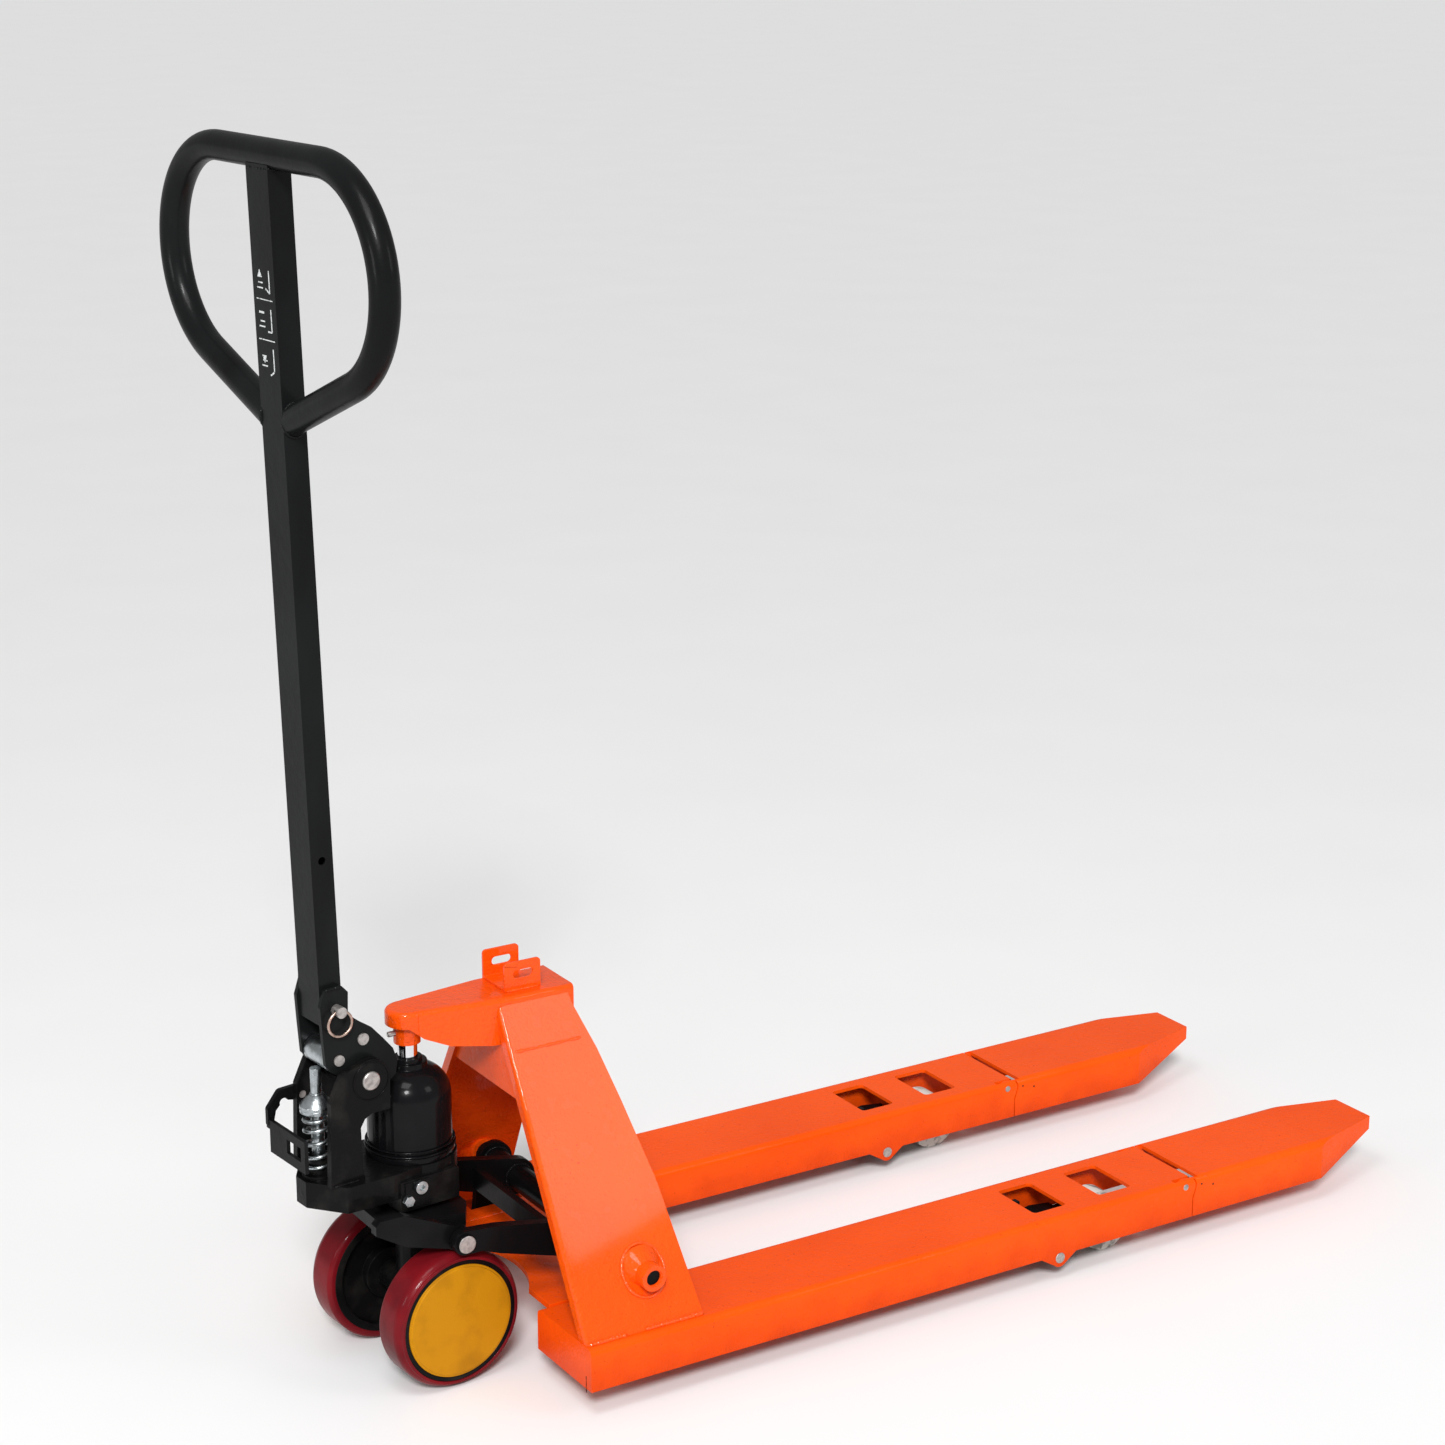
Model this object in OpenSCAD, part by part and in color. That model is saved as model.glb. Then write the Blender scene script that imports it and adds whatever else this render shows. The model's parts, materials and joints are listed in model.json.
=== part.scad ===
// Hand pallet jack with folding fork tips.
// +X runs along the forks, +Z is up, the steering axis is x = 0, y = 0.

/* [Wheels] */
// diameter of the two steering wheels
wheel_d = 180; // [160:1:190]
// width of one steering wheel
wheel_w = 50; // [40:1:52]
// diameter of the load rollers in the forks
roller_d = 76; // [70:1:78]
// length of a load roller
roller_len = 56; // [50:1:62]

/* [Forks] */
// width over both forks
overall_w = 540; // [520:1:560]
// width of one fork
fork_w = 136; // [130:1:150]
// height of the fork underside above the floor, lowered
fork_z = 37; // [36:1:40]
// height of a fork side wall
fork_h = 56; // [55:1:58]
// thickness of the fork sheet
fork_t = 5; // [4:0.5:6]
// x of the heel end of the forks
heel_x = 104; // [100:1:112]
// x of the end of the fixed fork
fork_end_x = 1050; // [1044:1:1060]
// x of the nose of the folding tip
nose_x = 1412; // [1380:1:1440]
// width of the nose end
nose_w = 72; // [60:1:80]
// bend radius of the fork's top edges
bend_r = 9; // [7:0.5:11]

/* [Tower] */
// height of the crosshead top
head_z = 473; // [468:1:480]
// width of the crosshead where the side plates join it
head_w = 84; // [80:1:88]
// thickness of the side plates
side_t = 6; // [5:0.5:8]
// outer reach of the shaft bosses from the centre plane
boss_y = 250; // [246:1:254]

/* [Pump] */
// diameter of the lift ram
ram_d = 25; // [22:0.5:26]
// outer diameter of the pump reservoir
tank_d = 106; // [96:1:110]
// diameter of the pump piston rod
rod_d = 16; // [14:0.5:18]
// diameter of the piston cap
cap_d = 42; // [38:0.5:44]

/* [Handle] */
// width of the mast tube, across
mast_w = 50; // [46:1:52]
// depth of the mast tube, fore and aft
mast_d = 30; // [26:1:32]
// diameter of the grip loop tube
loop_d = 35; // [30:0.5:38]
// half width of the grip loop centre line
loop_half = 240; // [220:1:260]
// wall of the grip loop tube
loop_t = 2.5; // [2:0.5:4]
// height of the top bar of the grip loop
loop_z = 1523; // [1480:1:1560]

/* [Hidden] */
steer_rest = 5;
$fn = 64;
run = 0.06;
fork_y = (overall_w - fork_w) / 2;
fork_top = fork_z + fork_h;
half_w = fork_w / 2;
in_w = fork_w - 2 * fork_t;
hinge_x = fork_end_x - 12;
hinge_z = fork_top - 10;
hinge_r = 4.5;
arm_x = 823;
arm_z = fork_z - 4;
arm_pin_r = 7.5;
load_x = 934;
load_z = roller_d / 2;
load_pin_r = 8;
horn_x = arm_x - 21.5;
horn_z = arm_z + 39.8;
horn_pin_r = 6;
rod_y = 185;
rod_w = 10;
lever_x = 184.5;
lever_z = 68.6;
shaft_x = 206;
shaft_z = 155;
journal_r = 10;
link_x = 15;
link_z = 197;
link_pin_r = 8;
wheel_r = wheel_d / 2;
wheel_in = 60;
wheel_out = wheel_in + wheel_w;
axle_r = 10;
stem_r = 22.5;
ram_r = ram_d / 2;
piv_x = -80;
piv_z = 410;
piv_r = 12;
pist_x = -130;
base_top = 284;
roll_x = -115;
roll_z = 440;
roll_r = 17;
roll_pin_r = 7;
ring_x = -116;
ring_z = 506;
ring_pin_r = 7;
pedal_x = -128;
pedal_z = 376;
pedal_pin_r = 5;
plate_in = mast_w / 2 + 0.1;
plate_out = plate_in + 7;
lug_in = plate_out + 4.7;
lug_out = lug_in + 10;
tilt = 1.48;
loop_r = 125;
loop_arc = 67.3;
slope_top_y = 50;
slope_top_z = 450;
slope_bot_y = 255;
slope_bot_z = 97;
slope_ang = atan2(slope_top_z - slope_bot_z, slope_bot_y - slope_top_y);

paint = [0.95, 0.32, 0.06];
black = [0.09, 0.09, 0.1];
steel = [0.62, 0.6, 0.58];
zinc = [0.7, 0.73, 0.76];
red = [0.42, 0.05, 0.08];
yellow = [0.85, 0.6, 0.08];
nylon = [0.85, 0.83, 0.78];

// inner and outer half distance between the side plates at a height
function out_y(z) = slope_top_y + (slope_top_z - z) / tan(slope_ang);
function in_y(z) = out_y(z) - side_t / sin(slope_ang);

// pieces that turn with the steering wheels, shown slightly turned
module steered() {
  rotate([0, 0, steer_rest]) children();
}

// flat outline of a two-ended link: two discs and their common tangents
module link2d(p, r1, q, r2) {
  d = norm(q - p);
  th = atan2(q[1] - p[1], q[0] - p[0]);
  a = acos((r1 - r2) / d);
  k = 0.998;
  polygon([p + k * r1 * [cos(th + a), sin(th + a)], q + k * r2 * [cos(th + a), sin(th + a)],
    q + k * r2 * [cos(th - a), sin(th - a)], p + k * r1 * [cos(th - a), sin(th - a)]]);
  translate(p) circle(r1);
  translate(q) circle(r2);
}

// plate in the x-z plane between two distances from the centre plane
module xz_plate(y1, y2) {
  translate([0, y2, 0]) rotate([90, 0, 0]) linear_extrude(y2 - y1) children();
}

// round bar along y
module y_bar(x, z, r, y1, y2) {
  translate([x, y1, z]) rotate([-90, 0, 0]) cylinder(r = r, h = y2 - y1);
}

// profile in y-z pushed along x
module x_push(x1, x2) {
  translate([x1, 0, 0]) rotate([90, 0, 90]) linear_extrude(x2 - x1) children();
}

// rectangle standing on its base with both top corners rounded
module round_top(w, h, r) {
  translate([-w / 2, 0]) square([w, h - r]);
  translate([-w / 2 + r, 0]) square([w - 2 * r, h]);
  for (s = [-1, 1]) translate([s * (w / 2 - r), h - r]) circle(r);
}

module fork_section() {
  difference() {
    round_top(fork_w, fork_h, bend_r);
    translate([0, -1]) round_top(in_w, fork_h - fork_t + 1, bend_r - fork_t + 0.5);
  }
}

// outline of the rounded ear beyond the fixed fork's end
module ear_cut() {
  difference() {
    translate([fork_end_x, fork_z - 5]) square([30, fork_h + 10]);
    translate([hinge_x, hinge_z]) circle(17);
    polygon([[fork_end_x - 8, fork_z + 29], [fork_end_x, fork_z + 29], [hinge_x + 16, hinge_z - 5.8],
      [fork_end_x - 8, hinge_z]]);
  }
}

module window(x1, x2) {
  translate([x1 + 6, -in_w / 2 + 22, fork_top - 12]) cube([x2 - x1 - 12, in_w - 44, 20]);
  translate([x1, -in_w / 2 + 28, fork_top - 12]) cube([x2 - x1, in_w - 56, 20]);
  for (x = [x1 + 6, x2 - 6], y = [-in_w / 2 + 28, in_w / 2 - 28]) {
    translate([x, y, fork_top - 12]) cylinder(r = 6, h = 20);
  }
}

// one fixed fork about its own centre plane; side is +1 for left
module fork(side) {
  difference() {
    union() {
      translate([0, 0, fork_z]) x_push(heel_x, fork_end_x + 8) fork_section();
      translate([0, 0, fork_z]) x_push(heel_x, heel_x + fork_t) round_top(fork_w, fork_h, bend_r);
      for (s = [-1, 1]) xz_plate(s * (half_w - fork_t / 2) - fork_t / 2, s * (half_w - fork_t / 2) + fork_t / 2) {
        translate([arm_x, arm_z]) circle(13);
        polygon([[arm_x - 36, fork_z + 3], [arm_x - 9, arm_z - 9.4], [arm_x + 9, arm_z - 9.4],
          [arm_x + 31, fork_z + 3]]);
      }
    }
    window(798, 852);
    window(908, 963);
    translate([fork_end_x, -in_w / 2, fork_z - 1]) cube([20, in_w, fork_h + 5]);
    xz_plate(-half_w - 1, half_w + 1) ear_cut();
    for (s = [-1, 1]) {
      translate([fork_end_x - 30, s * (half_w - 8.5) - 3.5, fork_top - 12]) cube([40, 7, 20]);
    }
    translate([166, side > 0 ? 164 - fork_y : fork_y - 194, fork_top - 12]) cube([78, 30, 20]);
    y_bar(arm_x, arm_z, arm_pin_r + run, -half_w - 5, half_w + 5);
    y_bar(hinge_x, hinge_z, hinge_r + run, -half_w - 5, half_w + 5);
  }
}

module fork_left() {
  color(paint) translate([0, fork_y, 0]) fork(1);
}

module fork_right() {
  color(paint) translate([0, -fork_y, 0]) fork(-1);
}

module cross_plate() {
  gap = fork_y - half_w;
  color(paint) difference() {
    translate([heel_x + 17, -gap, fork_top - 8]) cube([128, 2 * gap, 8]);
    translate([0, 0, fork_top - 10]) cylinder(r = 145, h = 20);
  }
}

// section of a side plate across its slope: plate, front return and rounded front corner
module side_section() {
  translate([heel_x + 6, -side_t]) square([190, side_t]);
  translate([heel_x + 1, -16]) square([5, 11]);
  intersection() {
    translate([heel_x + 6, -5]) circle(5);
    translate([heel_x, -5]) square([6, 6]);
  }
}

module side_sheet() {
  intersection() {
    translate([0, -slope_top_y, slope_top_z]) rotate([slope_ang, 0, 0]) translate([0, 40, 0]) rotate([90, 0, 0])
      linear_extrude(480) side_section();
    translate([0, -slope_top_y, slope_top_z]) rotate([slope_ang, 0, 0]) translate([0, 0, -40])
      linear_extrude(60) polygon([[heel_x - 5, 45], [200, 45], [207, 0], [224, -60], [238, -130], [257, -240],
      [274, -440], [heel_x - 5, -440]]);
    translate([0, -400, fork_top]) cube([400, 400 - head_w / 2, 500]);
  }
}

// right-hand side plate with the boss that carries the rocker shaft
module side_plate() {
  color(paint) difference() {
    union() {
      side_sheet();
      y_bar(shaft_x, shaft_z, 17, -boss_y, -200);
      translate([shaft_x, -212, shaft_z]) rotate([90, 0, 0]) cylinder(r1 = 30, r2 = 17, h = 20);
    }
    y_bar(shaft_x, shaft_z, journal_r + run, -boss_y - 5, -190);
    y_bar(shaft_x, shaft_z, journal_r + 1.5, -boss_y - 1, -boss_y + 1.5);
  }
}

module side_plate_right() {
  side_plate();
}

module side_plate_left() {
  mirror([0, 1, 0]) side_plate();
}

// sheet given as children, cut off at the side plates' inner faces
module between_plates(z1, z2) {
  intersection() {
    x_push(90, 290) polygon([[-in_y(z1), z1], [in_y(z1), z1], [in_y(z2), z2], [-in_y(z2), z2]]);
    children();
  }
}

module front_panel() {
  color(paint) between_plates(352, 412) translate([heel_x + 6, -200, 340]) cube([5, 400, 100]);
}

module back_panel() {
  color(paint) between_plates(215, 412) xz_plate(-250, 250) polygon([[211, 412], [216, 412], [256, 215], [251, 215]]);
}

// long block whose right top edge is rounded, side face at y = 0
module edge_block(len, r) {
  x_push(0, len) {
    square([140, 100 - r]);
    translate([r, 0]) square([140 - r, 100]);
    translate([r, 100 - r]) circle(r);
  }
}

// tapered cap that widens from a round nose to its full width at x = reach
module head_block(nose_r, w, reach, r) {
  ang = acos(nose_r / norm([w / 2, reach])) - atan2(reach, w / 2);
  intersection() {
    rotate([0, 0, -ang]) translate([0, -nose_r, 0]) edge_block(230, r);
    mirror([0, 1, 0]) rotate([0, 0, -ang]) translate([0, -nose_r, 0]) edge_block(230, r);
    x_push(-40, 213) round_top(w, 100, r);
  }
  rotate_extrude() {
    square([nose_r, 100 - r]);
    square([nose_r - r, 100]);
    translate([nose_r - r, 100 - r]) circle(r);
  }
}

module crosshead() {
  nose = 27;
  color(paint) difference() {
    intersection() {
      translate([0, 0, head_z - 100]) head_block(nose, head_w, 114, 6);
      union() {
        xz_plate(-100, 100) polygon([[-30, head_z + 1], [214, head_z + 1], [214, 416], [100, 413], [44, 422],
          [10, 437], [-8, 452], [-30, 453]]);
        translate([0, 0, 427]) cylinder(r = 17, h = 40);
      }
    }
    difference() {
      translate([0, 0, 380]) linear_extrude(head_z - 6 - 380) union() {
        circle(nose - 5);
        polygon([[0, -nose + 5], [114, -head_w / 2 + 5], [208, -head_w / 2 + 5], [208, head_w / 2 - 5],
          [114, head_w / 2 - 5], [0, nose - 5]]);
      }
      translate([0, 0, 420]) cylinder(r = 17, h = 60);
    }
    translate([0, 0, 400]) cylinder(r = ram_r + run, h = 56);
    translate([-30, 0, 441]) rotate([0, 90, 0]) cylinder(r = 3.5 + run, h = 20);
  }
}

module lock_bracket() {
  x1 = 125;
  x2 = 176;
  y1 = -24;
  y2 = 37;
  t = 3.5;
  color(paint) {
    translate([x1, y1, head_z]) cube([x2 - x1, y2 - y1, t]);
    for (y = [y1, y2 - t]) xz_plate(y, y + t) difference() {
      union() {
        translate([x1, head_z]) square([x2 - x1, 33]);
        translate([x1 + 5, head_z]) square([x2 - x1 - 10, 38]);
        translate([x1 + 5, head_z + 33]) circle(5);
        translate([x2 - 5, head_z + 33]) circle(5);
      }
      link2d([x1 + 18, head_z + 21], 5.5, [x1 + 35, head_z + 21], 5.5);
    }
  }
}

module lift_ram() {
  color(zinc) translate([0, 0, 289]) cylinder(r = ram_r, h = 456 - 289);
}

module head_screw() {
  color(zinc) difference() {
    translate([-26, 0, 441]) rotate([0, 90, 0]) cylinder(r = 3.5, h = 13);
    translate([-27, 0, 441]) rotate([0, 90, 0]) cylinder(r = 1.8, h = 6);
  }
}

module tip_pins() {
  color(steel) for (f = [-1, 1], s = [-1, 1]) {
    y_bar(hinge_x, hinge_z, hinge_r, f * fork_y + s * (half_w - 6) - 6.2, f * fork_y + s * (half_w - 6) + 6.2);
  }
}

module arm_pins() {
  color(steel) for (f = [-1, 1]) {
    y_bar(arm_x, arm_z, arm_pin_r, f * fork_y - half_w - 1, f * fork_y + half_w + 1);
  }
}

module carriage() {
  color(black) difference() {
    union() {
      translate([0, 0, 206]) linear_extrude(18) polygon([[-62, -89], [30, -89], [46, -60], [46, 60], [30, 89],
        [-62, 89], [-74, 60], [-74, -60]]);
      for (s = [-1, 1]) xz_plate(s * 95 - 7, s * 95 + 7) {
        polygon([[-98, 228], [-98, 240], [-92, 246], [-60, 246], [20, 210.5], [12, 183.5], [-58, 204]]);
        link2d([link_x - 4.6, link_z], 14, [link_x + 3.4, link_z], 14);
      }
    }
    translate([0, 0, 200]) cylinder(r = stem_r + run, h = 30);
    for (s = [-1, 1]) xz_plate(s * 95 - 8, s * 95 + 8) {
      link2d([link_x - 5.2, link_z], link_pin_r + 0.7, [link_x + 3.3, link_z], link_pin_r + 0.7);
    }
  }
}

module thrust_bearing() {
  color(steel) translate([0, 0, 224]) difference() {
    cylinder(r = 38, h = 6);
    translate([0, 0, -1]) cylinder(r = stem_r + run, h = 8);
    translate([0, 0, 2.2]) difference() {
      cylinder(r = 40, h = 1.6);
      cylinder(r = 36, h = 1.6);
    }
  }
}

module pump_base() {
  steered() color(black) difference() {
    union() {
      difference() {
        translate([0, 0, 250]) linear_extrude(base_top - 250) {
          polygon([[-156, -12], [-156, 12], [-124, 58], [-60, 60], [34, 50], [34, -50], [-60, -60], [-124, -58]]);
          circle(58);
        }
        translate([-156, -30, 244]) rotate([0, -35, 0]) translate([-20, 0, 0]) cube([20, 60, 22]);
      }
      translate([0, 0, 230]) cylinder(r = 46, h = 21);
      translate([-52, -62, 232]) cube([84, 40, 40]);
      translate([-46, -64, 236]) cube([34, 8, 34]);
      translate([pist_x, 0, base_top - 1]) cylinder(r = 21, h = 5);
      translate([pist_x, 0, base_top - 1]) cylinder(r = 12.5, h = 28);
      for (s = [-1, 1]) xz_plate(s * (lug_in + lug_out) / 2 - 5, s * (lug_in + lug_out) / 2 + 5) {
        polygon([[-140, base_top - 1], [-92, base_top - 1], [-95, 300], [-96, 352], [-90, 362], [-80, 367],
          [-54, 367], [-53, piv_z], [piv_x, 432], [-100, 432], [-119, 427], [-136, 392]]);
        translate([piv_x, piv_z]) circle(27);
      }
    }
    translate([pist_x, 0, 252]) cylinder(r = rod_d / 2 + run, h = 80);
    y_bar(piv_x, piv_z, piv_r + run, -80, 80);
    y_bar(-26, 262, 6 + run, -80, -50);
    y_bar(-44, 248, 5 + run, -80, -50);
    y_bar(pedal_x, pedal_z, pedal_pin_r + run, 30, 60);
  }
}

module pump_tank() {
  r = tank_d / 2;
  steered() color(black) translate([0, 0, base_top]) difference() {
    rotate_extrude() {
      difference() {
        union() {
          square([r, 74]);
          square([r - 40, 114]);
          translate([r - 40, 74]) circle(40);
        }
        translate([-60, 0]) square([60, 130]);
        translate([0, -60]) square([r + 10, 60]);
      }
      square([24, 119]);
      square([18, 124]);
      square([r + 3, 8]);
    }
    translate([0, 0, 3]) cylinder(r = ram_r + run, h = 140);
  }
}

module valve_fittings() {
  steered() color(steel) {
    y_bar(-26, 262, 6, -66, -51);
    difference() {
      y_bar(-26, 262, 8.5, -70, -64);
      translate([-26, -67, 262]) rotate([90, 0, 0]) cylinder(r = 4, h = 5, $fn = 6);
    }
    y_bar(-44, 248, 5, -70, -51);
    translate([-44, -64, 248]) rotate([90, 0, 0]) cylinder(r = 7.5, h = 6, $fn = 6);
  }
}

module axle_stem() {
  steered() color(black) difference() {
    union() {
      translate([0, 0, wheel_r]) cylinder(r = stem_r, h = 230 - wheel_r);
      y_bar(0, wheel_r, 20, -56, 56);
      translate([0, 0, 186]) cylinder(r = 32, h = 19);
    }
    y_bar(0, wheel_r, axle_r + run, -60, 60);
  }
}

module axle() {
  steered() color(steel) {
    y_bar(0, wheel_r, axle_r, -104, 104);
    for (s = [-1, 1]) y_bar(0, wheel_r, 15, s * 57.8 - 1.7, s * 57.8 + 1.7);
  }
}

module pivot_pin() {
  steered() color(steel) y_bar(pedal_x, pedal_z, pedal_pin_r, lug_in + 1, lug_out + 10);
  steered() color(steel) difference() {
    y_bar(piv_x, piv_z, piv_r, -lug_out - 3, lug_out + 3);
    translate([piv_x, 0, piv_z]) rotate([90, 0, 0]) rotate_extrude() {
      for (s = [-1, 1]) polygon([[piv_r - 1.5, s * (lug_out + 3.1)], [piv_r + 1, s * (lug_out + 3.1)],
        [piv_r + 1, s * (lug_out + 0.6)]]);
    }
  }
}

// one wheel part turned about the axle; the profile is radius against distance from the centre plane
module turned(side) {
  translate([0, 0, wheel_r]) rotate([side > 0 ? -90 : 90, 0, 0]) rotate_extrude($fn = 96) children();
}

module tyre(side) {
  steered() color(red) turned(side) difference() {
    union() {
      translate([80, wheel_in + 6]) square([wheel_r - 80, wheel_w - 20]);
      translate([80, wheel_in]) square([wheel_r - 86, wheel_w]);
      translate([wheel_r - 6, wheel_in + 6]) circle(6);
      intersection() {
        translate([wheel_r - 14, wheel_out - 14]) circle(14);
        translate([80, wheel_in]) square([20, wheel_w]);
      }
    }
    translate([wheel_r - 4, wheel_out - 2]) square([10, 10]);
    translate([70, wheel_in - 1]) square([10, wheel_w + 2]);
  }
}

module wheel(side) {
  steered() color(black) turned(side) {
    difference() {
      translate([axle_r + run, wheel_in]) square([80 - axle_r - run, wheel_w - 4]);
      translate([34, wheel_in - 1]) square([36, 13]);
    }
    translate([74.5, wheel_in]) square([5.5, wheel_w - 1]);
  }
}

module wheel_cap(side) {
  steered() color(yellow) turned(side) {
    translate([0, wheel_out - 4]) square([74, 3.5]);
    translate([0, wheel_out - 4]) square([71, 5]);
  }
}

module bracket_side() {
  polygon([[-131, 533], [-107, 534], [-99, 525], [-100, 496], [-84, 483], [-68, 472], [-52, 454], [-39, 438],
    [-33, 421], [-36, 404], [-48, 394], [piv_x, 390], [-98, 399], [-108, 424], [-122, 424], [-133, 436],
    [-136, 478], [-138, 512]]);
  translate([piv_x, piv_z]) circle(22);
  translate([-116, 438]) circle(15);
}

module handle_bracket() {
  steered() color(black) difference() {
    union() {
      for (s = [-1, 1]) xz_plate(s * (plate_in + plate_out) / 2 - 3.5, s * (plate_in + plate_out) / 2 + 3.5)
        bracket_side();
      y_bar(piv_x, piv_z, 18, -plate_out + 1, plate_out - 1);
      y_bar(-81, 460, 11, -plate_out + 1, plate_out - 1);
    }
    y_bar(piv_x, piv_z, piv_r + run, -80, 80);
    y_bar(roll_x, roll_z, roll_pin_r + run, -80, 80);
    y_bar(-81, 460, 7.5 + run, -80, 80);
    y_bar(ring_x, ring_z, ring_pin_r + run, -80, 80);
  }
}

module mast_frame() {
  translate([-120, 0, 540]) rotate([0, -tilt, 0]) children();
}

module mast() {
  top = loop_z - 540;
  steered() color(black) difference() {
    mast_frame() difference() {
      translate([-mast_d / 2, -mast_w / 2, -54]) cube([mast_d, mast_w, top + 44]);
      translate([-mast_d / 2 + 3, -mast_w / 2 + 3, -60]) cube([mast_d - 6, mast_w - 6, top + 80]);
      translate([0, 0, top]) rotate([90, 0, 0]) cylinder(r = loop_d / 2, h = 100, center = true);
      translate([0, 0, 154]) rotate([90, 0, 0]) cylinder(r = 5, h = 100, center = true);
    }
    y_bar(ring_x, ring_z, ring_pin_r + run, -80, 80);
  }
}

module tube_end(r) {
  difference() {
    circle(r);
    circle(r - loop_t);
  }
}

module grip_loop() {
  r = loop_d / 2;
  bar = loop_half - loop_r;
  end_y = bar + loop_r * cos(loop_arc);
  leg = (end_y - 10) / sin(loop_arc);
  steered() color(black) mast_frame() translate([0, 0, loop_z - 540]) difference() {
    union() {
      rotate([90, 0, 0]) linear_extrude(2 * bar, center = true) tube_end(r);
      for (s = [0, 1]) mirror([0, s, 0]) {
        translate([0, bar, -loop_r]) rotate([0, 90, 0]) rotate([0, 0, 90 - loop_arc])
          rotate_extrude(angle = 90 + loop_arc) translate([loop_r, 0]) tube_end(r);
        translate([0, end_y, -loop_r - loop_r * sin(loop_arc)]) rotate([180 - loop_arc, 0, 0])
          linear_extrude(leg) tube_end(r);
      }
    }
    translate([-mast_d, -mast_w / 2, -500]) cube([2 * mast_d, mast_w, 400]);
  }
}

module bracket_pins() {
  steered() color(steel) {
    y_bar(roll_x, roll_z, roll_pin_r, -plate_out - 2, plate_out + 2);
    y_bar(-81, 460, 7.5, -plate_out - 2, plate_out + 2);
    difference() {
      y_bar(ring_x, ring_z, ring_pin_r, -plate_out - 14, plate_out + 3);
      translate([ring_x - 10, -plate_out - 8, ring_z]) rotate([0, 90, 0]) cylinder(r = 3.2, h = 20);
    }
  }
}

module pump_roller() {
  steered() color(zinc) difference() {
    y_bar(roll_x, roll_z, roll_r, -plate_in + 0.4, plate_in - 0.4);
    y_bar(roll_x, roll_z, roll_pin_r + run, -40, 40);
  }
}

module pump_piston() {
  steered() color(zinc) translate([pist_x, 0, 0]) {
    translate([0, 0, 307.6]) cylinder(r = rod_d / 2, h = 61);
    translate([0, 0, 368]) cylinder(r = cap_d / 2, h = 9);
    translate([0, 0, 377]) cylinder(r1 = cap_d / 2, r2 = 14, h = 8);
    translate([0, 0, 385]) cylinder(r1 = 14, r2 = 8, h = 5);
    translate([0, 0, 390]) cylinder(r = 7, h = 34.1);
  }
}

module return_spring() {
  steered() color(zinc) translate([pist_x, 0, 288]) difference() {
    cylinder(r = 19, h = 80);
    translate([0, 0, -1]) cylinder(r = 13.5, h = 82);
  }
}

module release_pedal() {
  steered() color(black) {
    translate([-171, -40, 308]) difference() {
      cube([5, 86, 42]);
      translate([-1, 10, 13]) cube([7, 34, 18]);
    }
    difference() {
      xz_plate(lug_out + 0.5, lug_out + 7) difference() {
        union() {
          link2d([pedal_x, pedal_z], 10, [-152, 378], 7);
          link2d([-152, 378], 7, [-166, 362], 6);
          link2d([-166, 362], 6, [-168, 344], 4);
        }
        translate([-149, 367]) circle(6);
      }
      y_bar(pedal_x, pedal_z, pedal_pin_r + run, 0, 80);
    }
    translate([-171, 40, 338]) cube([5, lug_out + 7 - 40, 12]);
  }
}

module pin_ring() {
  steered() color(steel) translate([ring_x, -plate_out - 8, ring_z + 0.3 - 16]) rotate([90, 0, 0]) rotate_extrude()
    translate([16, 0]) circle(1.7, $fn = 24);
}

module rocker() {
  color(black) difference() {
    union() {
      y_bar(shaft_x, shaft_z, 17, -192, 192);
      y_bar(shaft_x, shaft_z, journal_r, -boss_y + 5, boss_y - 5);
      for (s = [-1, 1]) {
        xz_plate(s * 111 - 7, s * 111 + 7) {
          translate([link_x, link_z]) circle(15.5);
          translate([shaft_x, shaft_z]) circle(25);
          polygon([[link_x, link_z - 15.5], [38, link_z - 15.5], [62, 172], [shaft_x - 7, shaft_z - 24],
            [shaft_x + 5, shaft_z + 24.5], [126, 197], [60, 209], [link_x + 2, link_z + 15.3]]);
        }
        xz_plate(s * 173 - 5, s * 173 + 5) link2d([lever_x, lever_z], 13, [shaft_x, shaft_z], 25);
        y_bar(link_x, link_z, link_pin_r, s * 103.5 - 17.5, s * 103.5 + 17.5);
        y_bar(link_x, link_z, 12, s * 120 - 2.2, s * 120 + 2.2);
        y_bar(lever_x, lever_z, 7, s * 180 - 11.5, s * 180 + 11.5);
      }
      translate([140, -105, 154]) cube([10, 210, 28]);
    }
  }
}

module push_rod(side) {
  color(black) xz_plate(side * rod_y - rod_w / 2, side * rod_y + rod_w / 2) difference() {
    union() {
      translate([lever_x, lever_z]) circle(13);
      translate([lever_x, lever_z - 8]) square([horn_x - lever_x, 16]);
      translate([horn_x - 13, lever_z - 10]) square([26, 86 - lever_z + 10]);
    }
    translate([lever_x, lever_z]) circle(7 + run);
    translate([horn_x - horn_pin_r - 0.8, horn_z - horn_pin_r - 0.8]) square([2 * horn_pin_r + 1.6, 30]);
  }
}

module roller_arm(side) {
  color(black) translate([0, side * fork_y, 0]) difference() {
    union() {
      for (s = [-1, 1]) xz_plate(s * 37 - 4, s * 37 + 4) {
        link2d([arm_x, arm_z], 13, [load_x, load_z], 14);
        link2d([arm_x, arm_z], 13, [horn_x, horn_z], 8);
      }
      y_bar(arm_x, arm_z, 12, -40, 40);
      y_bar(horn_x, horn_z, horn_pin_r, -40, 40);
      y_bar(load_x, load_z, load_pin_r, -43, 43);
    }
    y_bar(arm_x, arm_z, arm_pin_r + run, -60, 60);
  }
}

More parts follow.
